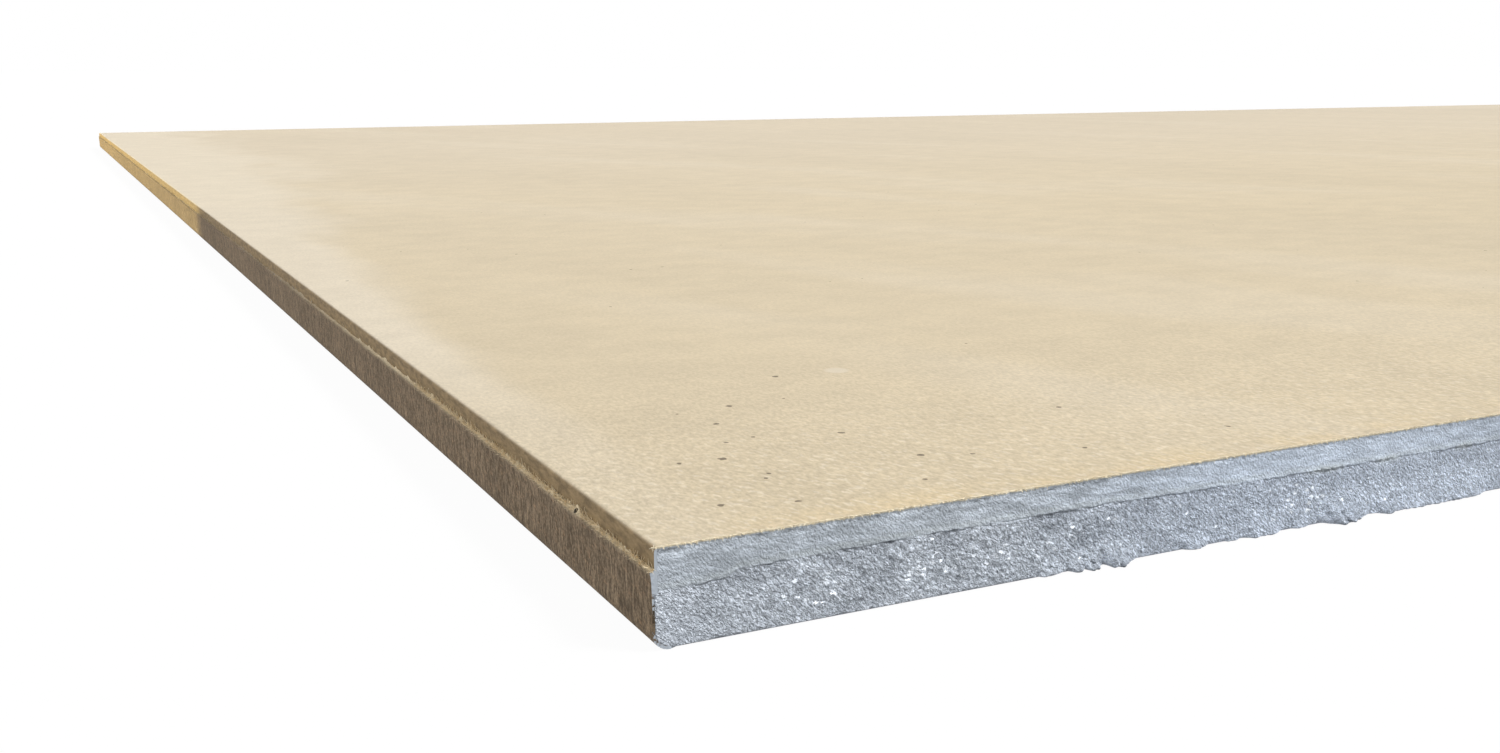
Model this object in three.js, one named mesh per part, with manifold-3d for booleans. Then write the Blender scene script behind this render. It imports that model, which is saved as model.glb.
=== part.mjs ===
// Render carrier board: a mineral core between two facing sheets, lying flat with its render face up.
//
// Millimetres, +Z up. The origin is at the middle of the underside. X runs along the board, between
// the two ends that the sheets wrap, and Y runs across it, between the two edges that were scored
// with a knife and snapped.

import * as THREE from "three";
import { mergeVertices } from "three/addons/utils/BufferGeometryUtils.js";
import Module from "manifold-3d";

const wasm = await Module();
wasm.setup();

// The whole board
const boardLength = 2400;
const boardWidth = 1200;
const boardThickness = 12.5;

// The facing sheets, and how they wrap the ends
const sheetThickness = 0.4;
const lapDrop = 3.1; // from the render face down to the raw edge of the sheet that laps over
const lapOverlap = 2.5; // how far the turned-down sheet runs on under that edge
const upperCoreRadius = 0.3; // the core's arris under the render face, nearly sharp
const lowerCoreRadius = 1.8; // the core's arris at the underside

// The scored and snapped edges
const scoreDepth = 4.2; // the smooth band that the knife left, below the render face
const breakSetback = 0.4; // how far the broken band below it lies behind the smooth one

const arrisSteps = 8;

const halfLength = boardLength / 2;
const halfWidth = boardWidth / 2;
const lapLevel = boardThickness - lapDrop;
const ledgeLevel = lapLevel - lapOverlap;
const scoreLevel = boardThickness - scoreDepth;

// Where the layers of the right-hand end lie, from the outside in
const turnedUpInside = halfLength - sheetThickness;
const turnedDownInside = turnedUpInside - sheetThickness;

// The centres that the core's arris and the sheet round it share
const upperCentre = [turnedDownInside - upperCoreRadius, boardThickness - sheetThickness - upperCoreRadius];
const lowerCentre = [turnedUpInside - lowerCoreRadius, sheetThickness + lowerCoreRadius];

const quarterTurn = Math.PI / 2;

// A quarter round from the end's upright face (level with the centre) to the board's flat one.
// Up is 1 for the upper arris and -1 for the lower.
function arris([x, z], radius, up) {
  const points = [];
  for (let step = 0; step <= arrisSteps; step += 1) {
    const angle = (quarterTurn * step) / arrisSteps;
    points.push([x + radius * Math.cos(angle), z + up * radius * Math.sin(angle)]);
  }
  return points;
}

function mirrored(line) {
  return line.map(([x, z]) => [-x, z]).reverse();
}

// The closed section between two lines. Each runs from the right-hand end's upright face to the
// board's flat one, and is carried across to the other end.
function section(first, second) {
  const outline = [...first, ...mirrored(first), ...mirrored(second).reverse(), ...[...second].reverse()];
  return new THREE.Shape(outline.map(([x, z]) => new THREE.Vector2(x, z)));
}

// A section in X and Z, drawn out from one cut edge to the other.
function drawnOut(shape) {
  const geometry = new THREE.ExtrudeGeometry(shape, { depth: boardWidth, bevelEnabled: false });
  geometry.rotateX(quarterTurn);
  geometry.translate(0, halfWidth, 0);
  return welded(geometry);
}

function welded(geometry) {
  geometry.deleteAttribute("normal");
  geometry.deleteAttribute("uv");
  return mergeVertices(geometry);
}

function solidOf(geometry) {
  const mesh = new wasm.Mesh({
    numProp: 3,
    vertProperties: new Float32Array(geometry.attributes.position.array),
    triVerts: new Uint32Array(geometry.index.array),
  });
  return new wasm.Manifold(mesh);
}

function geometryOf(solid) {
  const mesh = solid.getMesh();
  const geometry = new THREE.BufferGeometry();
  geometry.setAttribute("position", new THREE.BufferAttribute(new Float32Array(mesh.vertProperties), 3));
  geometry.setIndex(new THREE.BufferAttribute(new Uint32Array(mesh.triVerts), 1));
  return geometry;
}

// The lines between the layers, each used by both of its neighbours
const faceInside = [
  [turnedDownInside, ledgeLevel],
  ...arris(upperCentre, upperCoreRadius, 1),
];
const faceOutside = [
  [turnedUpInside, ledgeLevel],
  ...arris(upperCentre, upperCoreRadius + sheetThickness, 1),
];
const backInside = arris(lowerCentre, lowerCoreRadius, -1);
const backOutside = arris(lowerCentre, lowerCoreRadius + sheetThickness, -1);

// The strip below the score that broke away, as a cutter that runs well past the core.
// Side is 1 or -1, for the edge at +Y or at -Y.
function brokenStrip(side) {
  const length = 2 * boardLength;
  const depth = boardWidth;
  const height = 2 * scoreLevel;
  const strip = new THREE.BoxGeometry(length, depth, height);
  strip.translate(0, side * (halfWidth - breakSetback + depth / 2), 0);
  return solidOf(welded(strip));
}

function coreGeometry() {
  const blank = solidOf(drawnOut(section(faceInside, [[turnedUpInside, ledgeLevel], ...backInside])));
  return geometryOf(blank.subtract(brokenStrip(1)).subtract(brokenStrip(-1)));
}

function faceSheetGeometry() {
  return drawnOut(section(faceOutside, faceInside));
}

function backSheetGeometry() {
  const outside = [[halfLength, lapLevel], ...backOutside];
  const inside = [[turnedUpInside, lapLevel], ...backInside];
  return drawnOut(section(outside, inside));
}

function piece(name, geometry, colour, roughness) {
  const material = new THREE.MeshStandardMaterial({ color: colour, roughness, metalness: 0 });
  const mesh = new THREE.Mesh(geometry, material);
  mesh.name = name;
  return mesh;
}

const board = new THREE.Group();
board.add(
  piece("core", coreGeometry(), 0xa5acba, 0.9),
  piece("face_sheet", faceSheetGeometry(), 0xded0b4, 0.85),
  piece("back_sheet", backSheetGeometry(), 0xc9b48e, 0.9),
);

export default board;
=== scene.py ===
"""The looks of a render carrier board that lies flat on a pale floor, seen past its near left-hand corner.

The board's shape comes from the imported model. This script adds what the cut, the break and the torn lap
look like, and every surface's finish. Lengths named here are in millimetres, and MM brings them to metres.
"""

import math

import bmesh
import bpy
import numpy as np
from mathutils import Matrix, Vector
from mathutils.geometry import delaunay_2d_cdt


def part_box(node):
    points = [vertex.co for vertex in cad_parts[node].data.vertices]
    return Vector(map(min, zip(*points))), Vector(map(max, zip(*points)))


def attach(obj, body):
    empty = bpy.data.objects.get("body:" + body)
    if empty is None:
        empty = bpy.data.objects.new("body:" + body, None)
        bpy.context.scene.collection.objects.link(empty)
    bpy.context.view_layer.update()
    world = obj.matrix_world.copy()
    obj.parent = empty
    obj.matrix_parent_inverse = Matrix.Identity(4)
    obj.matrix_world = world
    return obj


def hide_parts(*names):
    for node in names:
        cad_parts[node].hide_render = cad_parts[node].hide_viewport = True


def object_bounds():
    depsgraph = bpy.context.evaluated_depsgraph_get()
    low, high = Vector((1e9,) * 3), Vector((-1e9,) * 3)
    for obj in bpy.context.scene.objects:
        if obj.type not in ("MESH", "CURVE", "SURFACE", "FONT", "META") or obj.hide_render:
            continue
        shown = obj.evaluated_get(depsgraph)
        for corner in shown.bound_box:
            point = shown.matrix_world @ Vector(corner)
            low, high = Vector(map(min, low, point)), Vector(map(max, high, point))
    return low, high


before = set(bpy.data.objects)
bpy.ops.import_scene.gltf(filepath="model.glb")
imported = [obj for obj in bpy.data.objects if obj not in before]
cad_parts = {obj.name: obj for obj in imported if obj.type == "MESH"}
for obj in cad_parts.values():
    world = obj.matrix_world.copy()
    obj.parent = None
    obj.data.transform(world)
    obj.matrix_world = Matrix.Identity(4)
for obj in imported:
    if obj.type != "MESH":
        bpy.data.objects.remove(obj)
cad_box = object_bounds()

MM = 0.001
SEED = 11

# The board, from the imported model, in millimetres
LOW, HIGH = cad_box
LENGTH, WIDTH, THICKNESS = (HIGH - LOW) / MM
FACE_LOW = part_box("face_sheet")[0]
SHEET = (FACE_LOW.x - LOW.x) / MM
LEDGE = FACE_LOW.z / MM
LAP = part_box("back_sheet")[1].z / MM
UNDER_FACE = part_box("core")[1].z / MM
LOWER_CORE_RADIUS = 1.8
LOWER_RADIUS = LOWER_CORE_RADIUS + SHEET
UPPER_CORE_RADIUS = 0.3

# The camera, measured from the near left-hand corner of the underside
CAMERA_PLACE = (-58.7, -143.5, 65.0)
CAMERA_YAW, CAMERA_PITCH, CAMERA_ROLL = 26.38, 12.04, 0.15
CAMERA_LENS = 34.82

# The cut edges
SCORE_DEPTH = 4.15
SCORE_DEEPER_AT_CORNER = 1.0
SCORE_STEP = (9.0, 11.0)
TOE_DEPTH = 0.45
TOE_CLEARANCE = 0.03
END_FADE = 8.0

# How the lower border of the score wanders: by how much, over what length, and each noise's seed
SCORE_WANDER = (
    (0.22, 17.0, 0),
    (0.07, 2.7, 1),
    (0.08, 0.7, 3),
    (0.05, 0.3, 2),
)

# Facets of the break: depth, width, height, slope and seed of each size
FACET_SIZES = (
    (0.08, 2.0, 1.1, 0.8, 9),
    (0.08, 0.9, 0.5, 1.0, 10),
    (0.06, 0.5, 0.33, 1.0, 11),
)

# Columns of points along the cut edges: fine as far as the photograph looks closely
VIEWED_LENGTH = 152.0
FINE_COLUMN = 0.175
COARSE_COLUMN = 10.0
BACK_COLUMN = 12.0
COLUMN_GROWTH = 1.03

# Rows of points up the cut edges: below the crack, close round it, and above it
LOWER_ROWS = 40
CRACK_ROWS = (-0.19, -0.10, -0.04, 0.02, 0.09)
UPPER_ROWS = 16

# Chips that stick out along the bottom of the front edge: where each begins, where its crest begins
# and ends, where it ends, and its reach
CHIPS = (
    (54.4, 55.2, 56.2, 58.6, 0.65),
    (59.1, 60.0, 60.6, 61.9, 1.15),
    (61.5, 62.3, 62.8, 64.6, 1.45),
    (65.2, 65.7, 66.5, 71.0, 2.1),
    (78.6, 80.1, 80.8, 83.2, 0.95),
    (86.0, 87.2, 88.2, 89.4, 0.55),
    (89.3, 91.5, 95.0, 97.2, 1.0),
    (98.8, 100.3, 100.9, 103.0, 0.6),
    (104.6, 107.4, 108.9, 115.5, 2.3),
    (112.0, 124.0, 136.8, 140.8, 1.2),
    (115.8, 117.6, 118.4, 121.6, 1.4),
)
RIM = 0.48

# Where bright crystals crowd the broken band: place, height and spread
CRYSTAL_CROWDS = (
    (21.5, 4.2, 3.4),
    (37.5, 4.0, 3.6),
    (48.0, 4.5, 2.0),
    (58.5, 4.0, 2.2),
    (100.0, 4.0, 3.5),
)

# Lips of the scored band that hang over the break: place and half width
LIPS = ((105.0, 4.5), (117.5, 3.5), (134.0, 2.5))


def smooth(start, end, value):
    """0 up to start, 1 from end on, and an even curve between them."""
    t = np.clip((value - start) / (end - start), 0.0, 1.0)
    return t * t * (3.0 - 2.0 * t)


def bell(value, centre, width):
    """1 at the centre, fading evenly to both sides."""
    return np.exp(-((value - centre) / width) ** 2)


def noise(x, y, seed):
    """Smooth noise between -1 and 1, with one lattice cell for each unit of x and of y."""
    cells = 251
    lattice = np.random.default_rng(SEED + seed).uniform(-1.0, 1.0, (cells, cells))
    xi, yi = np.floor(x).astype(int), np.floor(y).astype(int)
    fx, fy = smooth(0.0, 1.0, x - xi), smooth(0.0, 1.0, y - yi)
    x0, x1, y0, y1 = xi % cells, (xi + 1) % cells, yi % cells, (yi + 1) % cells
    near = lattice[x0, y0] * (1 - fx) + lattice[x1, y0] * fx
    far = lattice[x0, y1] * (1 - fx) + lattice[x1, y1] * fx
    return near * (1 - fy) + far * fy


def layered(x, y, seed, octaves=3):
    """Several octaves of noise, each turned a little so that no lattice shows."""
    total, weight, turn = 0.0, 0.0, 0.6
    for octave in range(octaves):
        share = 0.5 ** octave
        total = total + share * noise(x, y, seed + octave)
        weight += share
        cos, sin = 2.03 * math.cos(turn), 2.03 * math.sin(turn)
        x, y = cos * x - sin * y, sin * x + cos * y
    return total / weight


def facets(x, y, seed, slope):
    """Heights of flat facets round random points, one for each unit cell, like broken crystals."""
    cells = 241
    rng = np.random.default_rng(SEED + seed)
    jitter = rng.uniform(0.0, 1.0, (cells, cells, 2))
    tilt = rng.uniform(-slope, slope, (cells, cells, 2))
    level = rng.uniform(-0.5, 0.5, (cells, cells))
    xi, yi = np.floor(x).astype(int), np.floor(y).astype(int)
    best = np.full(np.shape(x), 9.0)
    height = np.zeros(np.shape(x))
    for dx in (-1, 0, 1):
        for dy in (-1, 0, 1):
            cx, cy = (xi + dx) % cells, (yi + dy) % cells
            px = x - (xi + dx + jitter[cx, cy, 0])
            py = y - (yi + dy + jitter[cx, cy, 1])
            distance = px * px + py * py
            here = level[cx, cy] + tilt[cx, cy, 0] * px + tilt[cx, cy, 1] * py
            nearer = distance < best
            best = np.where(nearer, distance, best)
            height = np.where(nearer, here, height)
    return height


def graded(length, fine, until, growth, coarse):
    """Stations from 0 to length: fine steps as far as until, then growing ones up to coarse."""
    stations = [0.0]
    step = fine
    while stations[-1] + step < length - 0.5 * step:
        stations.append(stations[-1] + step)
        if stations[-1] > until:
            step = min(step * growth, coarse)
    stations.append(length)
    return np.array(stations)


# Meshes

class Patchwork:
    """Collects patches of one piece, welds their shared borders and makes the object."""

    def __init__(self, name, attributes=()):
        self.name = name
        self.points, self.faces, self.count = [], [], 0
        self.values = {key: [] for key in attributes}

    def add(self, points, faces, **values):
        points = np.asarray(points, float).reshape(-1, 3)
        self.points.append(points)
        self.faces.extend(tuple(int(i) + self.count for i in face) for face in faces)
        for key, kept in self.values.items():
            kept.append(np.broadcast_to(np.ravel(values.get(key, 0.0)), len(points)))
        self.count += len(points)

    def grid(self, points, **values):
        """A sheet of quads over points of shape (rows, columns, 3)."""
        rows, columns = points.shape[:2]
        index = np.arange(rows * columns).reshape(rows, columns)
        quads = np.stack([index[:-1, :-1], index[:-1, 1:], index[1:, 1:], index[1:, :-1]], -1)
        self.add(points, quads.reshape(-1, 4), **values)

    def fill(self, ring, inner=()):
        """A flat level patch inside a closed ring of points, with inner points to even its triangles."""
        level = ring[0][2]
        flat = [Vector((p[0], p[1])) for p in ring] + [Vector(p) for p in inner]
        done = delaunay_2d_cdt(flat, [], [list(range(len(ring)))], 1, 1e-9)
        self.add([(v.x, v.y, level) for v in done[0]], done[2])

    def build(self, material, slot, *replaced):
        mesh = bpy.data.meshes.new(self.name)
        mesh.from_pydata(np.concatenate(self.points).tolist(), [], self.faces)
        for key, kept in self.values.items():
            attribute = mesh.attributes.new(key, "FLOAT", "POINT")
            attribute.data.foreach_set("value", np.concatenate(kept).astype(np.float32))
        work = bmesh.new()
        work.from_mesh(mesh)
        bmesh.ops.remove_doubles(work, verts=work.verts, dist=0.002 * MM)
        bmesh.ops.dissolve_degenerate(work, edges=work.edges, dist=0.0005 * MM)
        bmesh.ops.recalc_face_normals(work, faces=work.faces)
        for face in work.faces:
            face.smooth = True
        work.to_mesh(mesh)
        work.free()
        mesh.set_sharp_from_angle(angle=math.radians(50))
        mesh.materials.append(material)
        piece = bpy.data.objects.new(self.name, mesh)
        bpy.context.scene.collection.objects.link(piece)
        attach(piece, "root")
        if replaced:
            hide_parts(*replaced)
        return piece


def front(along, out, up):
    """Places near the front edge: along it from the left-hand end, out of it and up, to metres."""
    along, out, up = np.broadcast_arrays(along, out, up)
    return np.stack([LOW.x + along * MM, LOW.y - out * MM, LOW.z + up * MM], -1)


def back(along, out, up):
    along, out, up = np.broadcast_arrays(along, out, up)
    return np.stack([LOW.x + along * MM, HIGH.y + out * MM, LOW.z + up * MM], -1)


# The core

def core_inset(up):
    """How far the core's end lies inside the board's, at each height."""
    low = LOWER_RADIUS - np.clip(up, SHEET, LOWER_RADIUS)
    inset = LOWER_RADIUS - np.sqrt(np.maximum(LOWER_CORE_RADIUS ** 2 - low ** 2, 0.0))
    high = np.clip(up - (UNDER_FACE - UPPER_CORE_RADIUS), 0.0, UPPER_CORE_RADIUS)
    inset = inset + UPPER_CORE_RADIUS - np.sqrt(UPPER_CORE_RADIUS ** 2 - high ** 2)
    return inset + SHEET * (up > LEDGE)


def score_level(along, seed):
    """The height at which the knife's cut ends and the break begins."""
    depth = SCORE_DEPTH + SCORE_DEEPER_AT_CORNER * (1.0 - smooth(*SCORE_STEP, along))
    for swing, length, own_seed in SCORE_WANDER:
        depth = depth + swing * noise(along / length, along * 0, seed + own_seed)
    return THICKNESS - depth


def chip_reach(along, up, chips):
    """How far the break sticks out below, and how steeply: each chip fans out and flattens upwards."""
    reach, steep = np.zeros(np.shape(along)), np.zeros(np.shape(along))
    for begins, crest_begins, crest_ends, ends, length in chips:
        height = min(6.0, 1.5 + 0.45 * (ends - begins))
        fan = 0.8 * up
        share = length * smooth(begins - fan, crest_begins, along) * smooth(ends + fan, crest_ends, along)
        left = np.clip(1.0 - up / height, 0.0, 1.0)
        steep = np.maximum(steep, 1.8 * share / height * left ** 0.8)
        reach = np.maximum(reach, share * left ** 1.8)
    return reach, steep


def scored_relief(along, up, seed):
    """The smooth band: faint waves, fine streaks, and pits that crowd under the face sheet."""
    relief = 0.05 * noise(along / 23.0, up / 5.0, seed)
    relief = relief + 0.03 * noise((along + 3.0 * up) / 7.0, (up - 0.06 * along) / 0.45, seed + 1)
    relief = relief + 0.035 * layered(along / 1.1, up / 0.7, seed + 2, 4)
    pitted = smooth(0.3, 0.8, noise(along / 0.8, up / 0.45, seed + 4))
    return relief - 0.14 * pitted * (0.2 + smooth(1.1, 0.3, UNDER_FACE - up))


def crumbled_relief(along, up, seed):
    """The broken band: broad swells, and slanting facets of several sizes."""
    tilted, crossed = along - 0.9 * up, up + 0.7 * along
    relief = 0.16 * layered(along / 5.0, up / 3.5, seed + 5)
    for depth, width, height, slope, own_seed in FACET_SIZES:
        relief = relief + depth * facets(tilted / width, crossed / height, seed + own_seed, slope)
    return relief


def crumbled_strength(along, up):
    """How strong that relief is: calmer at the corners, at the underside and far along."""
    strength = 0.35 + 0.5 * smooth(1.0, 9.0, np.minimum(along, LENGTH - along))
    strength = strength + 0.4 * smooth(16.0, 30.0, along) * smooth(75.0, 58.0, along)
    return strength * (0.6 + 0.4 * smooth(0.2, 1.6, up)) * (1.0 - 0.4 * smooth(65.0, 120.0, along))


def crack_opening(along, seed):
    """How open the crack under the score is: wide in stretches, narrower far along, shut at one place."""
    opening = 0.25 + 0.75 * smooth(-0.3, 0.5, noise(along / 3.5, along * 0, seed + 13))
    opening = opening * (1.0 - 0.6 * smooth(80.0, 100.0, along))
    return opening * (1.0 - smooth(8.5, 9.5, along) * smooth(15.0, 13.5, along))


def lip_share(along, lips):
    """1 in the middle of each lip, 0 beside it."""
    share = np.zeros(np.shape(along))
    for place, half_width in lips:
        share = np.maximum(share, np.clip(1.0 - np.abs((along - place) / half_width) ** 2, 0.0, 1.0))
    return share


def break_relief(along, up, level, chips, lips, seed):
    """How far a cut edge stands out of its flat plane, how broken it is, how its chips lean as painted
    shade and painted light, and its lips.
    """
    below = level - up
    broken = smooth(-0.05, 0.10, below)
    reach, steep = chip_reach(along + 0.35 * noise(up / 0.7, along / 2.0, seed + 12), up, chips)
    # Painted shade on chip faces that lean up to the light, painted light on flanks that face away from it
    rise = np.gradient(reach, axis=1) / np.gradient(along, axis=1)
    painted_chip_shading = steep - 0.9 * np.maximum(rise, 0.0)
    reach = reach * (1.0 + 0.2 * noise(along / 0.5, up / 0.5, seed + 14))
    rim = RIM * np.clip(1.0 - up / 0.25, 0.0, 1.0)
    setback = 0.10 * smooth(0.5, 6.0, np.minimum(along, LENGTH - along))
    strength = crumbled_strength(along, up) + 0.3 * np.minimum(reach, 1.0)
    crumbled = crumbled_relief(along, up, seed) * strength - setback
    gap = bell(below, 0.05, 0.09) * crack_opening(along, seed)
    torn = smooth(0.05, 0.45, noise(along / 0.5, up / 0.33, seed + 15))
    lip = lip_share(along, lips)
    overhang = 0.10 * bell(below, -0.2, 0.3)
    hollow = 0.3 * torn * bell(below, 0.1, 0.26)
    out = scored_relief(along, up, seed) * (1 - broken) + (crumbled - rim + reach) * broken
    out = out - 0.11 * gap * (1.0 - lip) + lip * (overhang - hollow)
    lip = np.maximum(lip * bell(below, -0.05, 0.55), 0.4 * bell(below, -0.5, 0.4))
    return out, broken, np.clip(painted_chip_shading, -0.4, 1.0) * broken, lip


def crystals(along, up):
    """How crowded the bright crystals are."""
    crowd = 0.3 * smooth(0.15, 0.8, noise(along / 6.0, up / 3.0, 61))
    for place, height, spread in CRYSTAL_CROWDS:
        crowd = crowd + np.exp(-((along - place) / spread) ** 2 - ((up - height) / 1.6) ** 2)
    return np.clip(crowd, 0.0, 1.0)


def cut_edge(place, columns, chips, lips, seed):
    """The points of a cut edge, and the values that its finish goes by."""
    level = score_level(columns, seed)
    lower = 0.25 + np.linspace(0.0, 1.0, LOWER_ROWS)[:, None] * (level - 0.55)
    lower = np.concatenate([[columns * 0, columns * 0 + 0.12], lower])
    middle = level + np.array(CRACK_ROWS)[:, None]
    upper = level + 0.17 + np.linspace(0.0, 1.0, UPPER_ROWS)[:, None] * (UNDER_FACE - level - 0.17)
    up = np.concatenate([lower, middle, upper])
    at_left = np.clip(1 - columns / END_FADE, 0, 1)
    at_right = np.clip(1 - (LENGTH - columns) / END_FADE, 0, 1)
    along = columns + core_inset(up) * (at_left - at_right)
    out, broken, painted_chip_shading, lip = break_relief(along, up, level, chips, lips, seed)
    crystal = crystals(along, up)
    finish = {"broken": broken, "relief": out, "crystal": crystal, "painted_chip_shading": painted_chip_shading, "lip": lip}
    return place(along, out, up), finish


def random_chips(start, end, rng):
    """Chips where the photograph's view doesn't reach, of the same kinds."""
    chips, place = [], start
    while place < end:
        rise, crest, fall = rng.uniform(0.5, 3.0), rng.uniform(0.5, 6.0), rng.uniform(1.0, 5.0)
        crest_begins = place + rise
        crest_ends = crest_begins + crest
        chips.append((place, crest_begins, crest_ends, crest_ends + fall, rng.uniform(0.4, 2.2)))
        place += rise + crest + fall + rng.uniform(1.0, 16.0)
    return chips


def make_core(material):
    rng = np.random.default_rng(SEED)
    core = Patchwork("cut_core", ("broken", "relief", "crystal", "painted_chip_shading", "lip"))
    edges = []
    front_chips = [*CHIPS, *random_chips(VIEWED_LENGTH + 3.0, LENGTH - 5.0, rng)]
    back_chips = random_chips(8.0, LENGTH - 5.0, rng)
    front_columns = graded(LENGTH, FINE_COLUMN, VIEWED_LENGTH, COLUMN_GROWTH, COARSE_COLUMN)
    back_columns = graded(LENGTH, BACK_COLUMN, 0.0, 1.0, BACK_COLUMN)
    cuts = (
        (front, front_columns, front_chips, LIPS, 20),
        (back, back_columns, back_chips, (), 40),
    )
    for place, columns, chips, lips, seed in cuts:
        points, finish = cut_edge(place, columns, chips, lips, seed)
        core.grid(points, **finish)
        bottom = (points[0, :, 0] - LOW.x) / MM
        toe = [points[0], place(bottom, -TOE_DEPTH, 0.0), place(bottom, -TOE_DEPTH, SHEET)]
        core.grid(np.stack(toe))
        edges.append((points, toe[2]))
    (front_points, front_toe), (back_points, back_toe) = edges
    for column in (0, -1):
        core.grid(np.stack([front_points[:, column], back_points[:, column]]))
        heel = [front_toe[column], front_points[0, column], back_points[0, column], back_toe[column]]
        core.add(heel, [(0, 1, 2, 3)])
    core.fill(np.concatenate([front_points[-1], back_points[-1][::-1]]))
    core.fill(np.concatenate([front_toe, back_toe[::-1]]))
    return core.build(material, "core", "core")


# The back sheet, wrapped round both ends

# The seeds of the two ends
LEFT_END, RIGHT_END = 70, 90

# The hole in the lap of the left-hand end: in from the end, back from the front, up, and how wide
# the torn flap over it is
HOLE = (0.2, 25.0, 9.75)
HOLE_FLAP = 0.6

# Stations along the wrapped ends: fine on the left as far as the photograph looks closely
END_FINE = 0.25
END_VIEWED = 90.0
END_GROWTH = 1.02
END_COARSE = 6.0


def wrap_section(place, seed):
    """The wrapped sheet's section at each place along the end, from its torn edge down and under the board.

    Gives how far its outside and its inside lie inside the board's end, and how high.
    """
    none = place * 0
    shoulder = LAP + 0.04 + 0.12 * noise(place / 3.1, none, seed)
    shoulder = shoulder + 0.08 * noise(place / 0.7, none, seed + 1)
    feather = LAP + 0.36 + 0.2 * layered(place / 1.7, none, seed + 2)
    feather = feather + 0.5 * smooth(0.35, 0.95, noise(place / 0.8, none, seed + 5))
    feather = feather + HOLE_FLAP * bell(place, HOLE[1], HOLE_FLAP) * (seed == LEFT_END)
    torn = np.linspace(0.0, 1.0, 6)[:, None]
    torn_up = feather + (shoulder - feather) * torn
    frayed = 0.07 * noise(place / 0.35, torn * 5.0, seed + 6) * np.sin(math.pi * torn)
    lift = 0.20 + 0.09 * noise(place / 4.3, none, seed + 9)
    torn_out = (SHEET * 0.94 + lift) * (1.0 - torn ** 1.5) - lift + frayed
    face = np.linspace(0.0, 1.0, 15)[1:, None]
    face_up = shoulder + (LOWER_RADIUS - shoulder) * face
    swell = 0.13 * noise(place / 26.0, face_up / 2.6, seed + 7)
    swell = swell + 0.05 * noise(place / 1.4, face_up / 5.0, seed + 8)
    face_out = swell * np.sin(math.pi * np.clip(face, 0.0, 1.0)) ** 0.5
    face_out = face_out - lift * (np.exp((face_up - shoulder) / 0.9) - face * math.exp(-7.0))
    turn = (np.arange(1, 9) / 8 * math.pi / 2)[:, None]
    low_out = LOWER_RADIUS * (1.0 - np.cos(turn)) + none
    low_up = LOWER_RADIUS * (1.0 - np.sin(turn)) + none
    inner_out = SHEET + LOWER_CORE_RADIUS * (1.0 - np.cos(turn)) + none
    inner_up = SHEET + LOWER_CORE_RADIUS * (1.0 - np.sin(turn)) + none
    outside = np.concatenate([torn_out, face_out, low_out]), np.concatenate([torn_up, face_up, low_up])
    upright = np.full((len(torn) + len(face), len(place)), SHEET)
    inside = np.concatenate([upright, inner_out]), np.concatenate([torn_up, face_up, inner_up])
    raw = np.concatenate([np.broadcast_to(1.0 - 0.8 * torn ** 3, torn_up.shape), face_out * 0, low_out * 0])
    return outside, inside, raw


def at_end(side, inset, place, up):
    """Places near the left end (side -1) or the right one (1): in from it, back from the front and up."""
    inset, place, up = np.broadcast_arrays(inset, place, up)
    end = LOW.x if side < 0 else HIGH.x
    return np.stack([end - side * inset * MM, LOW.y + place * MM, LOW.z + up * MM], -1)


def make_back_sheet(material):
    sheet = Patchwork("wrapped_back_sheet", ("raw",))
    rows = []
    ends = (
        (-1, graded(WIDTH, END_FINE, END_VIEWED, END_GROWTH, END_COARSE), LEFT_END),
        (1, graded(WIDTH, END_COARSE, 0.0, 1.0, END_COARSE), RIGHT_END),
    )
    for side, place, seed in ends:
        outside, inside, raw = wrap_section(place, seed)
        outer = at_end(side, outside[0], place, outside[1])
        inner = at_end(side, inside[0], place, inside[1])
        sheet.grid(outer, raw=raw)
        sheet.grid(inner)
        sheet.grid(np.stack([outer[0], inner[0]]), raw=1.0)
        for cut in (0, -1):
            sheet.grid(np.stack([outer[:, cut], inner[:, cut]], 1))
        rows.append((outer[-1], inner[-1]))
    inset, clear = LOWER_RADIUS + 1.0, TOE_DEPTH + TOE_CLEARANCE
    inner_x = np.linspace(LOW.x, HIGH.x, 41)[1:-1]
    inner_y = np.linspace(LOW.y, HIGH.y, 21)[1:-1]
    middle = np.stack(np.meshgrid(inner_x, inner_y), -1)
    for layer, up in ((0, 0.0), (1, SHEET)):
        near = [at_end(side, inset, clear, up) for side in (1, -1)]
        far = [at_end(side, inset, WIDTH - clear, up) for side in (-1, 1)]
        ring = [*near, *rows[0][layer], *far, *rows[1][layer][::-1]]
        sheet.fill(ring, middle.reshape(-1, 2))
    for station, place in ((0, clear), (-1, WIDTH - clear)):
        strip = []
        for layer, up in ((0, 0.0), (1, SHEET)):
            left, right = rows[0][layer][station], rows[1][layer][station]
            strip.append([left, at_end(-1, inset, place, up), at_end(1, inset, place, up), right])
        sheet.grid(np.array(strip))
    return sheet.build(material, "back_sheet", "back_sheet")


# Loose fibres

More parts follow.
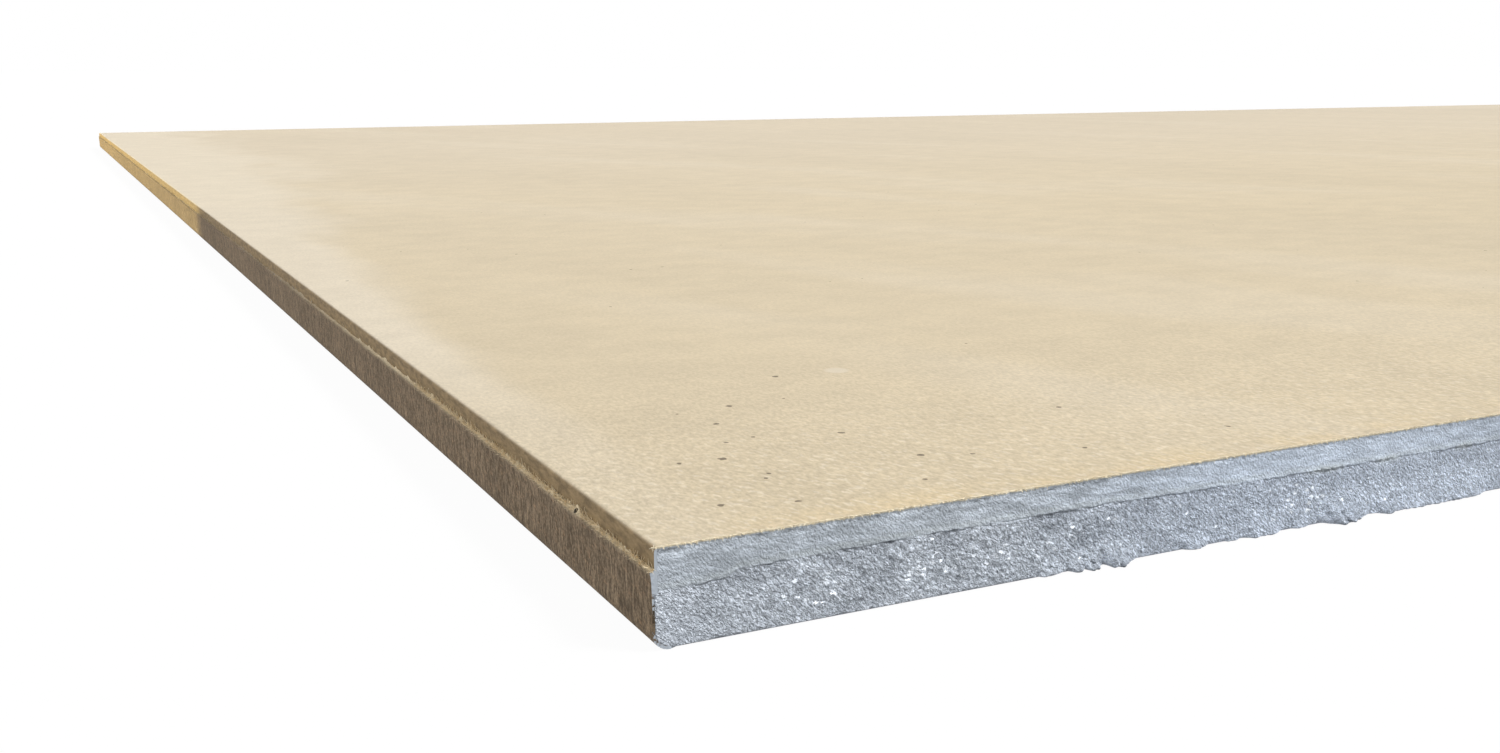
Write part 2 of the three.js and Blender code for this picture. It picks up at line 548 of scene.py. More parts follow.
def make_fibres(name, material, slot, base, way, length, radius, rng):
    """Thin tapered fibres, one for each base point, each bent a little off its way."""
    count = len(base)
    way = way / np.linalg.norm(way, axis=1, keepdims=True)
    across = np.cross(way, rng.normal(size=(count, 3)))
    across /= np.linalg.norm(across, axis=1, keepdims=True)
    other = np.cross(way, across)
    bend = across * rng.uniform(0.1, 0.5, (count, 1))
    rings = []
    for share in (0.0, 0.35, 0.7, 1.0):
        centre = base + length[:, None] * (way * share + bend * share ** 2)
        thick = (radius * (1.0 - 0.75 * share))[:, None]
        for corner in range(3):
            angle = 2 * math.pi * corner / 3
            rings.append(centre + thick * (math.cos(angle) * across + math.sin(angle) * other))
    points = np.stack(rings, 1)
    side = []
    for ring in range(3):
        for corner in range(3):
            here, beside = 3 * ring + corner, 3 * ring + (corner + 1) % 3
            side.append((here, beside, beside + 3, here + 3))
    faces = []
    for fibre in range(count):
        first = 12 * fibre
        faces.extend(tuple(first + i for i in quad) for quad in side)
        faces.append((first + 2, first + 1, first))
        faces.append((first + 9, first + 10, first + 11))
    patch = Patchwork(name, ("raw",))
    patch.add(points.reshape(-1, 3), faces, raw=1.0)
    return patch.build(material, slot)


def spread(rng, near_count, near_length, far_count, whole):
    """Places along an edge, crowded where the photograph looks closely and sparse beyond."""
    near = rng.uniform(0.0, near_length, near_count)
    far = rng.uniform(near_length, whole, far_count)
    return np.concatenate([near, far])


def make_lap_fibres(material):
    """Fibres that stand off the torn edge of the lap."""
    rng = np.random.default_rng(SEED + 200)
    bases, ways = [], []
    for side, near_count in ((-1, 1500), (1, 100)):
        place = spread(rng, near_count, 110.0, 700, WIDTH)
        count = len(place)
        share = rng.uniform(0.0, 1.0, count)
        bases.append(at_end(side, SHEET * (0.95 - 0.9 * share), place, LAP + 0.55 - 0.6 * share))
        outward = side * rng.uniform(-0.2, 0.6, count)
        ways.append(np.stack([outward, rng.normal(0.0, 1.0, count), rng.uniform(-0.1, 1.1, count)], 1))
    base, way = np.concatenate(bases), np.concatenate(ways)
    length = rng.uniform(0.3, 1.3, len(base)) * MM
    radius = rng.uniform(0.03, 0.07, len(base)) * MM
    return make_fibres("lap_fibres", material, "back_sheet", base, way, length, radius, rng)


def make_arris_fibres(material):
    """Fibres along the cut of the face sheet, where the knife pulled them out."""
    rng = np.random.default_rng(SEED + 300)
    bases, ways = [], []
    for place, side, near_count in ((front, -1, 3000), (back, 1, 100)):
        along = spread(rng, near_count, VIEWED_LENGTH, 1100, LENGTH)
        count = len(along)
        bases.append(place(along, 0.0, THICKNESS - rng.uniform(0.0, 0.16, count)))
        outward = side * rng.uniform(0.0, 0.6, count)
        ways.append(np.stack([rng.normal(0.0, 1.2, count), outward, rng.uniform(-0.4, 0.2, count)], 1))
    base, way = np.concatenate(bases), np.concatenate(ways)
    length = rng.uniform(0.12, 0.55, len(base)) * MM
    radius = rng.uniform(0.04, 0.085, len(base)) * MM
    return make_fibres("arris_fibres", material, "face_sheet", base, way, length, radius, rng)


# Materials

class Finish:
    """A material's node tree, with short calls for the nodes that the finishes share."""

    def __init__(self, name, roughness, specular):
        self.material = bpy.data.materials.new(name)
        self.material.use_nodes = True
        self.tree = self.material.node_tree
        self.shader = self.tree.nodes["Principled BSDF"]
        self.shader.inputs["Roughness"].default_value = roughness
        self.shader.inputs["Specular IOR Level"].default_value = specular
        self.place = self.node("ShaderNodeTexCoord").outputs["Object"]
        split = self.node("ShaderNodeSeparateXYZ")
        self.join(split.inputs[0], self.place)
        self.x, self.y, self.z = split.outputs
        normal = self.node("ShaderNodeSeparateXYZ")
        self.join(normal.inputs[0], self.node("ShaderNodeNewGeometry").outputs["True Normal"])
        self.facing_x, self.facing_y, self.facing_z = normal.outputs

    def node(self, kind, **settings):
        made = self.tree.nodes.new(kind)
        for key, value in settings.items():
            setattr(made, key, value)
        return made

    def join(self, socket, value):
        if isinstance(value, bpy.types.NodeSocket):
            self.tree.links.new(value, socket)
        elif isinstance(value, tuple) and len(value) == 3 and socket.type == "RGBA":
            socket.default_value = (*value, 1.0)
        else:
            socket.default_value = value

    def math(self, operation, a, b=0.0):
        made = self.node("ShaderNodeMath", operation=operation)
        self.join(made.inputs[0], a)
        self.join(made.inputs[1], b)
        return made.outputs[0]

    def times(self, a, b):
        return self.math("MULTIPLY", a, b)

    def span(self, value, start, end, low=0.0, high=1.0):
        """Goes smoothly from low to high while value goes from start to end."""
        made = self.node("ShaderNodeMapRange", interpolation_type="SMOOTHSTEP")
        for socket, given in zip(made.inputs, (value, start, end, low, high)):
            self.join(socket, given)
        return made.outputs[0]

    def mix(self, share, first, second):
        made = self.node("ShaderNodeMix", data_type="RGBA")
        self.join(made.inputs["Factor"], share)
        self.join(made.inputs[6], first)
        self.join(made.inputs[7], second)
        return made.outputs[2]

    def tint(self, share, colour, shade):
        """Multiplies a colour by a shade, as far as share says."""
        made = self.node("ShaderNodeMix", data_type="RGBA", blend_type="MULTIPLY", clamp_result=False)
        self.join(made.inputs["Factor"], share)
        self.join(made.inputs[6], colour)
        self.join(made.inputs[7], shade)
        return made.outputs[2]

    def tone(self, colour, amount):
        """Multiplies a colour by a number."""
        made = self.node("ShaderNodeVectorMath", operation="SCALE")
        self.join(made.inputs[0], colour)
        self.join(made.inputs["Scale"], amount)
        return made.outputs[0]

    def stretched(self, sizes, turn=(0.0, 0.0, 0.0), place=None):
        """The place, measured in cells of the given sizes in millimetres."""
        made = self.node("ShaderNodeMapping", vector_type="TEXTURE")
        made.inputs["Rotation"].default_value = turn
        made.inputs["Scale"].default_value = [size * MM for size in sizes]
        self.join(made.inputs["Vector"], place or self.place)
        return made.outputs[0]

    def noise(self, sizes, detail=2.0, rough=0.5, turn=(0.0, 0.0, 0.0)):
        made = self.node("ShaderNodeTexNoise")
        made.inputs["Scale"].default_value = 1.0
        made.inputs["Detail"].default_value = detail
        made.inputs["Roughness"].default_value = rough
        self.join(made.inputs["Vector"], self.stretched(sizes, turn))
        return made.outputs["Fac"]

    def cells(self, sizes, turn=(0.0, 0.0, 0.0), place=None):
        made = self.node("ShaderNodeTexVoronoi", voronoi_dimensions="2D" if place else "3D")
        made.inputs["Scale"].default_value = 1.0
        self.join(made.inputs["Vector"], self.stretched(sizes, turn, place))
        return made

    def chances(self, cells):
        """Three even chances between 0 and 1 for each cell."""
        made = self.node("ShaderNodeSeparateColor")
        self.join(made.inputs[0], cells.outputs["Color"])
        return made.outputs

    def away(self, place, centre):
        """How far a place lies from a centre."""
        made = self.node("ShaderNodeVectorMath", operation="DISTANCE")
        self.join(made.inputs[0], place)
        self.join(made.inputs[1], centre)
        return made.outputs["Value"]

    def hue(self, vector):
        """Three noises at once, each between -0.5 and 0.5."""
        made = self.node("ShaderNodeTexNoise")
        made.inputs["Scale"].default_value = 1.0
        self.join(made.inputs["Vector"], vector)
        shifted = self.node("ShaderNodeVectorMath", operation="SUBTRACT")
        self.join(shifted.inputs[0], made.outputs["Color"])
        self.join(shifted.inputs[1], (0.5, 0.5, 0.5))
        return shifted.outputs[0]

    def dots(self, place, spots, edge=0.25):
        """1 inside each of the spots on the render face, 0 outside them."""
        total = 0.0
        for along, deep, radius in spots:
            centre = (LOW.x + along * MM, LOW.y + deep * MM, HIGH.z)
            spot = self.span(self.away(place, centre), radius * MM, radius * (1.0 - edge) * MM)
            total = self.math("MAXIMUM", total, spot)
        return total

    def value(self, name):
        return self.node("ShaderNodeAttribute", attribute_name=name).outputs["Fac"]

    def bump(self, height, depth, under=None):
        """Relief from a height between 0 and 1 that stands for depth in millimetres."""
        made = self.node("ShaderNodeBump")
        made.inputs["Strength"].default_value = 1.0
        made.inputs["Distance"].default_value = depth * MM
        self.join(made.inputs["Height"], height)
        if under is not None:
            self.join(made.inputs["Normal"], under)
        return made.outputs[0]

    def done(self, colour, normal):
        self.join(self.shader.inputs["Base Color"], colour)
        self.join(self.shader.inputs["Normal"], normal)
        return self.material


# Colours are in linear light
CORE_COLOUR = (0.49, 0.54, 0.60)
# Painted shade for the hollows and pits of the break
CORE_PAINTED_SHADE = (0.27, 0.30, 0.35)
CORE_LIGHT = (0.67, 0.735, 0.815)
# The break's tone where it stands out, with painted light
BREAK_TONE_AND_PAINTED_LIGHT = (0.80, 0.865, 0.96)
CORE_BLUER = (0.97, 1.0, 1.055)
LIP_COLOUR = (0.74, 0.80, 0.79)
CRYSTAL_COLOUR = (0.86, 0.92, 1.0)
CRYSTAL_LEAN = (0.35, 0.0, 0.6)
GRAIN_TURN = (0.0, 0.75, 0.0)


def scored_look(f):
    """The smooth band: level streaks, blotches, and dark notches under the face sheet."""
    streaks = f.noise((6.5, 6.5, 1.1), 5.0, 0.75, (0.0, 0.07, 0.0))
    patches = f.noise((3.6, 3.6, 1.6), 4.0, 0.75)
    notches = f.noise((0.8, 0.8, 0.4), 2.0, 0.6)
    colour = f.mix(f.span(streaks, 0.36, 0.64), f.tone(CORE_COLOUR, 0.76), CORE_LIGHT)
    colour = f.mix(f.span(patches, 0.42, 0.66, 0.0, 0.7), colour, f.tone(CORE_COLOUR, 0.74))
    high = f.span(f.z, HIGH.z - 1.9 * MM, HIGH.z - 0.7 * MM)
    notched = f.times(f.span(notches, 0.56, 0.66), high)
    colour = f.tone(colour, f.math("SUBTRACT", 1.0, f.times(notched, 0.22)))
    even = f.span(f.x, LOW.x + 60.0 * MM, LOW.x + 95.0 * MM, 0.0, 0.35)
    colour = f.mix(even, colour, f.tone(CORE_LIGHT, 0.93))
    colour = f.tone(colour, f.span(f.x, LOW.x + 55.0 * MM, LOW.x + 85.0 * MM, 1.05, 1.17))
    return f.tone(colour, f.span(f.x, LOW.x + 115.0 * MM, LOW.x + 150.0 * MM, 1.0, 0.83))


def crumbled_look(f, crumbs, crease):
    """The broken band: painted shade in its hollows, creases, wrinkles and pits, painted light where it
    stands out, and crumbs of many tones.
    """
    wrinkled = f.noise((0.62, 0.5, 0.36), 2.0, 0.6, GRAIN_TURN)
    wrinkle = f.math("ABSOLUTE", f.math("SUBTRACT", wrinkled, 0.5))
    distance, chance = crumbs.outputs["Distance"], f.chances(crumbs)
    # Painted shade in the hollows, painted light where the break stands out
    colour = f.mix(f.span(f.value("relief"), -0.5, 0.08), CORE_PAINTED_SHADE, BREAK_TONE_AND_PAINTED_LIGHT)
    # Painted shade in the creases and wrinkles
    colour = f.tone(colour, f.span(crease, 0.0, 0.04, 0.68, 1.04))
    colour = f.tone(colour, f.span(wrinkle, 0.0, 0.06, 0.74, 1.05))
    colour = f.mix(f.span(distance, 0.15, 0.6, 0.0, 0.3), colour, f.tone(CORE_COLOUR, 0.6))
    colour = f.tone(colour, f.span(chance[1], 0.0, 1.0, 0.84, 1.16))
    # Painted shade in the pits
    pit = f.times(f.math("GREATER_THAN", chance[2], 0.88), f.span(distance, 0.45, 0.3))
    return f.mix(f.times(pit, 0.75), colour, CORE_PAINTED_SHADE)


def crystal_look(f, crumbs, grain):
    """How much of a bright crystal shows, and how far its facet leans to the light."""
    rare = f.math("GREATER_THAN", f.chances(crumbs)[0], 0.96)
    small = f.times(f.times(rare, f.span(crumbs.outputs["Distance"], 0.42, 0.30)), 0.6)
    upright = f.node("ShaderNodeCombineXYZ")
    f.join(upright.inputs[0], f.x)
    f.join(upright.inputs[1], f.z)
    flakes = f.cells((1.15, 0.68, 1.0), (0.0, 0.0, -0.2), upright.outputs[0])
    chance = f.chances(flakes)
    crowd = f.times(f.value("crystal"), 0.48)
    chosen = f.math("GREATER_THAN", f.math("ADD", chance[0], crowd), 1.0)
    ragged = f.math("ADD", flakes.outputs["Distance"], f.span(grain, 0.3, 0.7, -0.2, 0.3))
    flake = f.times(f.times(chosen, f.span(ragged, 0.36, 0.28)), 1.5)
    shown = f.math("MAXIMUM", small, f.math("MINIMUM", flake, 1.0))
    shown = f.times(shown, f.value("broken"))
    return shown, f.times(shown, f.span(chance[1], 0.2, 0.9))


def core_finish():
    f = Finish("core", 0.85, 0.25)
    broken = f.value("broken")
    grain = f.noise((0.30, 0.30, 0.30), 3.0, 0.65)
    crumbs = f.cells((0.55, 0.5, 0.36), GRAIN_TURN)
    creased = f.noise((1.1, 0.9, 0.62), 3.0, 0.6, GRAIN_TURN)
    crease = f.math("ABSOLUTE", f.math("SUBTRACT", creased, 0.5))
    crystal, leaning = crystal_look(f, crumbs, grain)
    colour = f.mix(broken, scored_look(f), crumbled_look(f, crumbs, crease))
    colour = f.tone(colour, f.span(grain, 0.25, 0.75, 0.84, 1.16))
    colour = f.tint(f.span(f.x, LOW.x + 40.0 * MM, LOW.x + 90.0 * MM), colour, CORE_BLUER)
    # Painted shade where chips lean up to the light, painted light on their flanks turned away from it
    colour = f.tone(colour, f.math("SUBTRACT", 1.0, f.times(f.value("painted_chip_shading"), 0.5)))
    # Darker towards the floor: painted shade where the edge meets the floor
    colour = f.tone(colour, f.span(f.z, 0.15 * MM, 0.8 * MM, 0.86, 1.0))
    lip = f.tone(LIP_COLOUR, f.span(grain, 0.3, 0.7, 0.8, 1.1))
    colour = f.mix(f.times(f.value("lip"), 0.55), colour, lip)
    colour = f.mix(crystal, colour, CRYSTAL_COLOUR)
    f.join(f.shader.inputs["Roughness"], f.math("SUBTRACT", 0.85, f.times(crystal, 0.5)))
    f.join(f.shader.inputs["Specular IOR Level"], f.math("ADD", 0.25, f.times(crystal, 0.75)))
    height = f.math("ADD", f.times(grain, 0.5), f.times(crumbs.outputs["Distance"], 0.5))
    height = f.math("ADD", height, f.times(f.math("MINIMUM", crease, 0.12), 5.0))
    height = f.times(height, f.span(broken, 0.0, 1.0, 0.42, 1.0))
    facet = f.node("ShaderNodeVectorMath", operation="ADD")
    f.join(facet.inputs[0], f.node("ShaderNodeNewGeometry").outputs["True Normal"])
    f.join(facet.inputs[1], CRYSTAL_LEAN)
    return f.done(colour, f.mix(leaning, f.bump(height, 0.25), facet.outputs[0]))


FACE_COLOUR = (0.540, 0.450, 0.307)
FACE_FAR = (0.543, 0.463, 0.343)
FACE_PALE = (0.60, 0.527, 0.41)
FACE_WARM = (0.555, 0.445, 0.275)
# A darker copy of the buff for the face sheet's turned-down sides: painted shade
FACE_SIDE_SHADE = (0.292, 0.204, 0.102)
CUT_CREAM = (0.88, 0.80, 0.62)
FIBRE_COLOUR = (0.88, 0.79, 0.60)
SPECK_COLOUR = (0.085, 0.06, 0.035)

# Specks of the render face: along from the near left-hand corner, back from it, and radius
DARK_SPECKS = (
    (13.9, 10.9, 0.55),
    (23.1, 8.1, 0.45),
    (23.2, 30.3, 0.75),
    (24.2, 19.1, 0.40),
    (25.5, 20.9, 0.40),
    (48.6, 19.7, 0.55),
    (42.5, 9.3, 0.40),
    (45.0, 35.5, 0.50),
    (37.7, 58.5, 0.70),
    (54.6, 75.1, 0.70),
    (31.0, 48.8, 0.50),
    (17.0, 30.8, 0.40),
    (27.5, 38.1, 0.45),
    (32.4, 39.1, 0.40),
    (55.3, 16.9, 0.40),
    (71.3, 12.6, 0.40),
    (98.2, 12.8, 0.45),
)
PALE_SPOTS = ((66.6, 74.7, 2.6),)


def face_specks(f):
    """The measured dark specks, a few sparse ones all over, and the measured pale spots."""
    warped = f.node("ShaderNodeVectorMath", operation="MULTIPLY_ADD")
    f.join(warped.inputs[0], f.hue(f.stretched((0.8, 0.8, 0.8))))
    f.join(warped.inputs[1], (0.9 * MM, 0.9 * MM, 0.0))
    f.join(warped.inputs[2], f.place)
    specks = f.cells((9.0, 9.0, 9.0))
    size = f.span(f.chances(specks)[0], 0.55, 1.0, 0.0, 0.05)
    sparse = f.math("LESS_THAN", specks.outputs["Distance"], size)
    dark = f.math("MAXIMUM", f.dots(warped.outputs[0], DARK_SPECKS), sparse)
    dark = f.times(dark, f.span(f.facing_z, 0.5, 0.9))
    return dark, f.dots(warped.outputs[0], PALE_SPOTS, 0.4)


def pale_band(f, from_end, from_front):
    """The pale band along the wrapped ends, which widens and strengthens away from the front."""
    width = f.span(from_front, 150.0 * MM, 700.0 * MM, 13.0 * MM, 60.0 * MM)
    drift = f.noise((40.0, 90.0, 40.0), 2.0, 0.5)
    width = f.times(width, f.span(drift, 0.3, 0.7, 0.75, 1.25))
    band = f.span(f.math("DIVIDE", from_end, width), 1.5, 0.6)
    return f.times(band, f.span(from_front, 15.0 * MM, 150.0 * MM, 0.2, 0.85))


def face_finish():
    f = Finish("face_sheet", 0.8, 0.3)
    from_end = f.math("SUBTRACT", f.x, LOW.x)
    from_front = f.math("SUBTRACT", f.y, LOW.y)
    clouds = f.noise((260.0, 260.0, 260.0), 3.0)
    patches = f.noise((60.0, 240.0, 60.0), 2.0, 0.5, (0.0, 0.0, 0.35))
    flecks = f.noise((0.9, 2.0, 0.9), 2.0, 0.6, (0.0, 0.0, 0.3))
    mottle = f.noise((15.0, 11.0, 15.0), 3.0, 0.6)
    grain = f.noise((1.6, 2.4, 1.6), 3.0, 0.7)
    fine = f.noise((0.55, 1.1, 0.55), 3.0, 0.7)
    fibres = f.noise((0.5, 2.2, 2.0), 2.0, 0.6, (0.0, 0.0, 0.9))
    crossing = f.noise((0.5, 2.2, 2.0), 2.0, 0.6, (0.0, 0.0, -0.5))
    turned_down = f.noise((2.0, 3.2, 0.8), 3.0, 0.65)
    colour = f.mix(f.span(from_front, 120.0 * MM, 900.0 * MM), FACE_COLOUR, FACE_FAR)
    colour = f.tone(colour, f.span(clouds, 0.3, 0.7, 0.985, 1.02))
    colour = f.mix(f.span(patches, 0.52, 0.72, 0.0, 0.3), colour, FACE_PALE)
    colour = f.tone(colour, f.span(patches, 0.5, 0.3, 1.0, 0.975))
    colour = f.mix(pale_band(f, from_end, from_front), colour, FACE_PALE)
    warm = f.times(f.span(from_front, 9.0 * MM, 1.0 * MM), f.span(mottle, 0.35, 0.65, 0.0, 0.8))
    warm = f.times(warm, f.span(from_end, 3.0 * MM, 30.0 * MM, 0.2, 1.0))
    colour = f.mix(warm, colour, FACE_WARM)
    colour = f.tone(colour, f.span(mottle, 0.25, 0.75, 0.96, 1.04))
    flecked = f.mix(f.span(flecks, 0.54, 0.66, 0.0, 0.5), colour, f.tone(FACE_PALE, 1.12))
    flecked = f.tone(flecked, f.span(flecks, 0.34, 0.46, 0.925, 1.0))
    colour = f.mix(f.span(from_front, 70.0 * MM, 10.0 * MM), colour, flecked)
    grained = f.tone(colour, f.span(grain, 0.25, 0.75, 0.965, 1.035))
    grained = f.tone(grained, f.span(fine, 0.30, 0.70, 0.875, 1.125))
    colour = f.mix(f.span(from_front, 30.0 * MM, 120.0 * MM, 1.0, 0.5), colour, grained)
    colour = f.tone(colour, f.span(fibres, 0.6, 0.78, 1.0, 1.07))
    colour = f.tone(colour, f.span(crossing, 0.62, 0.78, 1.0, 0.91))
    dark, pale = face_specks(f)
    colour = f.mix(f.times(pale, 0.7), colour, FACE_PALE)
    colour = f.mix(f.times(dark, 0.8), colour, SPECK_COLOUR)
    # Painted shade: the sides that face along the board take a darker copy of the buff
    side = f.span(f.math("ABSOLUTE", f.facing_x), 0.35, 0.9)
    side_shade = f.tone(FACE_SIDE_SHADE, f.span(turned_down, 0.3, 0.7, 0.72, 1.3))
    side_shade = f.tone(side_shade, f.span(grain, 0.2, 0.8, 0.84, 1.18))
    colour = f.mix(side, colour, side_shade)
    cut = f.math("GREATER_THAN", f.math("ABSOLUTE", f.facing_y), 0.7)
    ragged = f.math("ADD", f.z, f.times(grain, 0.3 * MM))
    dust = f.span(ragged, HIGH.z + 0.02 * MM, HIGH.z - 0.22 * MM)
    colour = f.mix(cut, colour, f.mix(dust, CUT_CREAM, CORE_COLOUR))
    colour = f.mix(f.value("raw"), colour, FIBRE_COLOUR)
    height = f.math("ADD", f.times(fine, 0.6), f.times(fibres, 0.3))
    return f.done(colour, f.bump(height, 0.05, f.bump(mottle, 0.25)))


# The wrapped sheet's buff darkened with painted shade for the ends, with lighter strokes and flecks
BACK_SHADED_BUFF = (0.204, 0.149, 0.095)
BACK_LIGHT = (0.31, 0.232, 0.153)
BACK_FLECK = (0.46, 0.29, 0.165)
TORN_COLOUR = (1.0, 0.84, 0.57)


def back_finish():
    f = Finish("back_sheet", 0.85, 0.15)
    from_front = f.math("SUBTRACT", f.y, LOW.y)
    raw = f.times(f.value("raw"), f.span(from_front, 80.0 * MM, 320.0 * MM, 1.0, 0.2))
    strokes = f.noise((3.0, 1.5, 9.0), 3.0, 0.6)
    broad = f.noise((6.0, 2.6, 12.0), 2.0, 0.5)
    clouds = f.noise((70.0, 60.0, 70.0), 2.0)
    grain = f.noise((0.4, 0.4, 0.4), 3.0, 0.7)
    threads = f.noise((1.1, 0.5, 1.9), 3.0, 0.65)
    crossing = f.noise((1.2, 2.2, 0.45), 2.0, 0.6, (0.35, 0.0, 0.0))
    colour = f.mix(f.span(strokes, 0.35, 0.7, 0.0, 0.5), BACK_SHADED_BUFF, BACK_LIGHT)
    colour = f.tone(colour, f.span(threads, 0.36, 0.64, 0.6, 1.44))
    colour = f.mix(f.span(crossing, 0.56, 0.72, 0.0, 0.55), colour, BACK_FLECK)
    # Darker towards the floor: painted shade where the wrap turns under the board
    colour = f.tone(colour, f.span(f.z, 0.2 * MM, 2.6 * MM, 0.66, 1.0))
    colour = f.tone(colour, f.span(broad, 0.3, 0.7, 0.86, 1.12))
    colour = f.tone(colour, f.span(clouds, 0.3, 0.7, 0.93, 1.06))
    colour = f.tone(colour, f.span(grain, 0.3, 0.7, 0.68, 1.36))
    colour = f.mix(raw, colour, f.tone(TORN_COLOUR, f.span(grain, 0.3, 0.65, 0.68, 1.05)))
    # Painted shade: a dark spot where the hole in the lap lies, with no opening modelled
    hole = (LOW.x + HOLE[0] * MM, LOW.y + HOLE[1] * MM, LOW.z + HOLE[2] * MM)
    colour = f.tone(colour, f.span(f.away(f.place, hole), 0.36 * MM, 0.5 * MM, 0.08, 1.0))
    cut = f.math("GREATER_THAN", f.math("ABSOLUTE", f.facing_y), 0.7)
    cut = f.times(cut, f.math("SUBTRACT", 1.0, raw))
    low = f.math("ADD", f.z, f.span(grain, 0.3, 0.7, -1.5 * MM, 1.5 * MM))
    dusty = f.math("MAXIMUM", f.span(low, 5.0 * MM, 6.5 * MM), f.span(low, 2.0 * MM, 1.0 * MM))
    colour = f.tone(colour, f.math("SUBTRACT", 1.0, f.times(cut, 0.45)))
    cut = f.times(cut, dusty)
    colour = f.mix(cut, colour, f.tone(CORE_COLOUR, f.span(grain, 0.25, 0.75, 0.85, 1.2)))
    height = f.math("ADD", f.times(grain, 0.5), f.times(strokes, 0.7))
    return f.done(colour, f.bump(height, 0.14))


# The camera, the light and the floor

def make_camera():
    yaw, pitch, roll = (math.radians(a) for a in (CAMERA_YAW, CAMERA_PITCH, CAMERA_ROLL))
    ahead = Vector((math.sin(yaw) * math.cos(pitch), math.cos(yaw) * math.cos(pitch), -math.sin(pitch)))
    level = Vector((math.cos(yaw), -math.sin(yaw), 0.0))
    down = ahead.cross(level)
    right = math.cos(roll) * level + math.sin(roll) * down
    up = math.sin(roll) * level - math.cos(roll) * down
    data = bpy.data.cameras.new("camera")
    data.lens = CAMERA_LENS
    data.sensor_width = 36.0
    data.clip_start, data.clip_end = 0.01, 200.0
    camera = bpy.data.objects.new("camera", data)
    place = Vector((LOW.x, LOW.y, LOW.z)) + Vector(CAMERA_PLACE) * MM
    turn = Matrix((right, up, -ahead)).transposed().to_4x4()
    camera.matrix_world = Matrix.Translation(place) @ turn
    bpy.context.scene.collection.objects.link(camera)
    bpy.context.scene.camera = camera


# The key and the fill are far lights, with their angles in degrees. The bounce is a low warm spot on
# the farthest stretch of the wrapped end, placed in millimetres from the near left-hand corner.
KEY_STRENGTH = 3.3
KEY_ELEVATION = 50.0
KEY_FROM_FRONT = 55.0
KEY_SOFTNESS = 14.0
BOUNCE_PLACE = (-1500.0, 1500.0, 26.0)
BOUNCE_AIM = (0.0, 900.0, 6.0)
BOUNCE_SPREAD = 26.5
BOUNCE_POWER = 150.0
BOUNCE_COLOUR = (1.0, 0.88, 0.42)
FILL_STRENGTH = 0.95
FILL_ELEVATION = 6.0
FILL_FROM_FRONT = -90.0
FILL_SOFTNESS = 40.0
SKY_LIGHT = 0.40
GROUND_LIGHT = 0.34
HORIZON_BLEND = 0.15
SURROUND_RADIUS = 30.0


def make_sun(name, strength, softness, elevation, from_front):
    """A far light. Its place is turned from the front, the cut edge's side, towards the right."""
    data = bpy.data.lights.new(name, "SUN")
    data.energy = strength
    data.angle = math.radians(softness)
    sun = bpy.data.objects.new(name, data)
    high, aside = math.radians(elevation), math.radians(from_front)
    towards = Vector((math.sin(aside) * math.cos(high), -math.cos(aside) * math.cos(high), math.sin(high)))
    sun.rotation_euler = towards.to_track_quat("Z", "Y").to_euler()
    bpy.context.scene.collection.objects.link(sun)


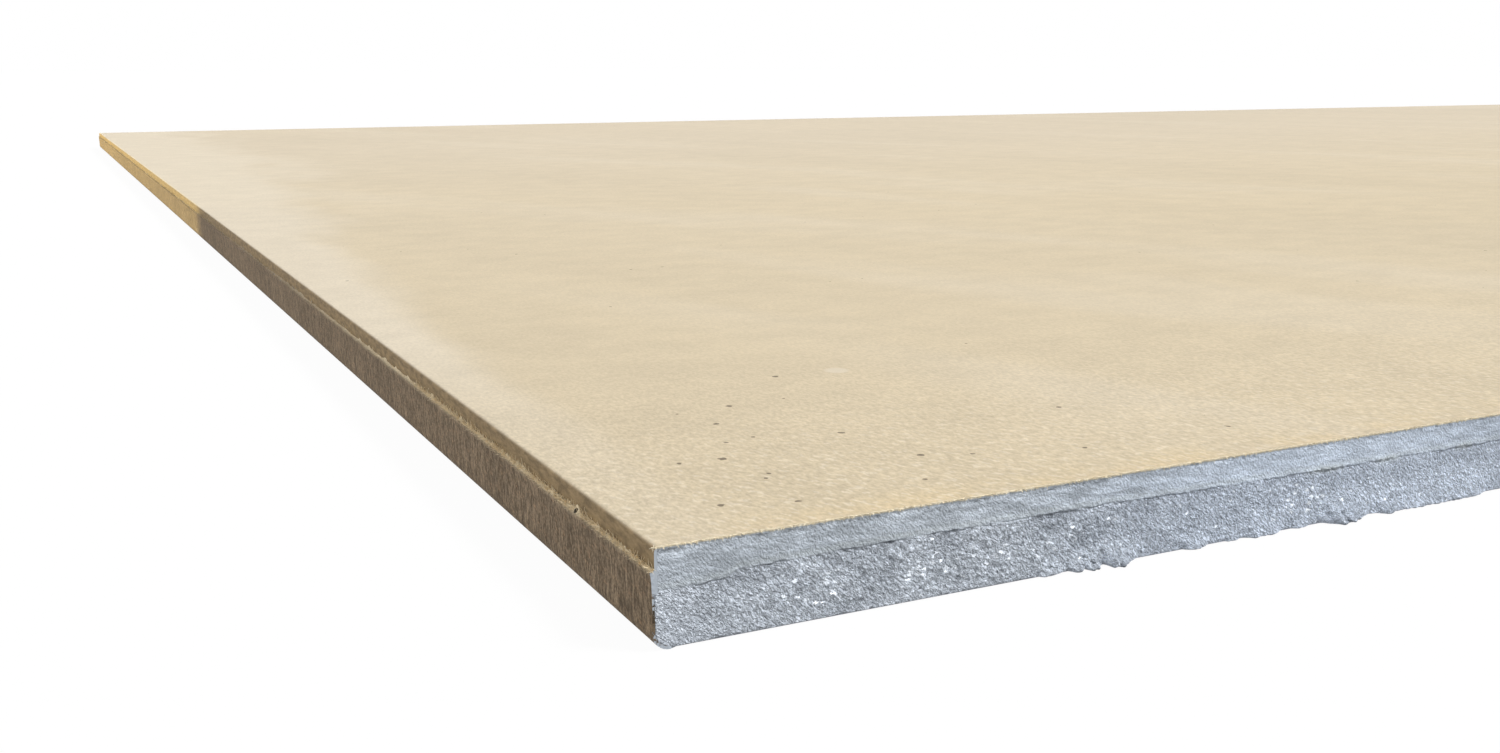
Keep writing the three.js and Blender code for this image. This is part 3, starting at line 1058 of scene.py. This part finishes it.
def make_light():
    make_sun("key", KEY_STRENGTH, KEY_SOFTNESS, KEY_ELEVATION, KEY_FROM_FRONT)
    make_sun("fill", FILL_STRENGTH, FILL_SOFTNESS, FILL_ELEVATION, FILL_FROM_FRONT)
    data = bpy.data.lights.new("bounce", "SPOT")
    data.energy = BOUNCE_POWER
    data.color = BOUNCE_COLOUR
    data.spot_size = math.radians(BOUNCE_SPREAD)
    data.spot_blend = 0.08
    data.shadow_soft_size = 0.01
    bounce = bpy.data.objects.new("bounce", data)
    corner = Vector((LOW.x, LOW.y, LOW.z))
    place, aim = corner + Vector(BOUNCE_PLACE) * MM, corner + Vector(BOUNCE_AIM) * MM
    turn = (place - aim).to_track_quat("Z", "Y").to_matrix().to_4x4()
    bounce.matrix_world = Matrix.Translation(place) @ turn
    bpy.context.scene.collection.objects.link(bounce)
    world = bpy.data.worlds.new("studio")
    world.use_nodes = True
    nodes, links = world.node_tree.nodes, world.node_tree.links
    ways = nodes.new("ShaderNodeTexCoord")
    split = nodes.new("ShaderNodeSeparateXYZ")
    shade = nodes.new("ShaderNodeMapRange")
    links.new(ways.outputs["Generated"], split.inputs[0])
    links.new(split.outputs["Z"], shade.inputs["Value"])
    shade.inputs["From Min"].default_value = -HORIZON_BLEND
    shade.inputs["From Max"].default_value = HORIZON_BLEND
    shade.inputs["To Min"].default_value = GROUND_LIGHT
    shade.inputs["To Max"].default_value = SKY_LIGHT
    links.new(shade.outputs[0], nodes["Background"].inputs["Strength"])
    nodes["Background"].inputs["Color"].default_value = (1.0, 1.0, 1.0, 1.0)
    bpy.context.scene.world = world


def stage_material(name, diffuse, glow):
    material = bpy.data.materials.new(name)
    material.use_nodes = True
    shader = material.node_tree.nodes["Principled BSDF"]
    shader.inputs["Base Color"].default_value = (diffuse, diffuse, diffuse, 1.0)
    shader.inputs["Roughness"].default_value = 1.0
    shader.inputs["Specular IOR Level"].default_value = 0.0
    shader.inputs["Emission Color"].default_value = (1.0, 1.0, 1.0, 1.0)
    shader.inputs["Emission Strength"].default_value = glow
    return material


def make_surround():
    """A pale floor and a white shell round it. Neither throws light on the board."""
    work = bmesh.new()
    bmesh.ops.create_circle(work, cap_ends=True, segments=96, radius=SURROUND_RADIUS)
    floor_mesh = bpy.data.meshes.new("floor")
    work.to_mesh(floor_mesh)
    work.free()
    work = bmesh.new()
    bmesh.ops.create_icosphere(work, subdivisions=4, radius=SURROUND_RADIUS)
    shell_mesh = bpy.data.meshes.new("shell")
    work.to_mesh(shell_mesh)
    work.free()
    floor = bpy.data.objects.new("floor", floor_mesh)
    shell = bpy.data.objects.new("shell", shell_mesh)
    floor_mesh.materials.append(stage_material("floor", 0.03, 0.965))
    shell_mesh.materials.append(stage_material("shell", 0.0, 1.0))
    for made in (floor, shell):
        made.visible_diffuse = False
        bpy.context.scene.collection.objects.link(made)
    shell.visible_shadow = False


make_camera()
make_core(core_finish())
face_material, back_material = face_finish(), back_finish()
face_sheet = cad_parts["face_sheet"]
face_sheet.data.materials.clear()
face_sheet.data.materials.append(face_material)
make_back_sheet(back_material)
make_lap_fibres(back_material)
make_arris_fibres(face_material)
make_light()
make_surround()
bpy.context.scene.view_settings.view_transform = "Standard"
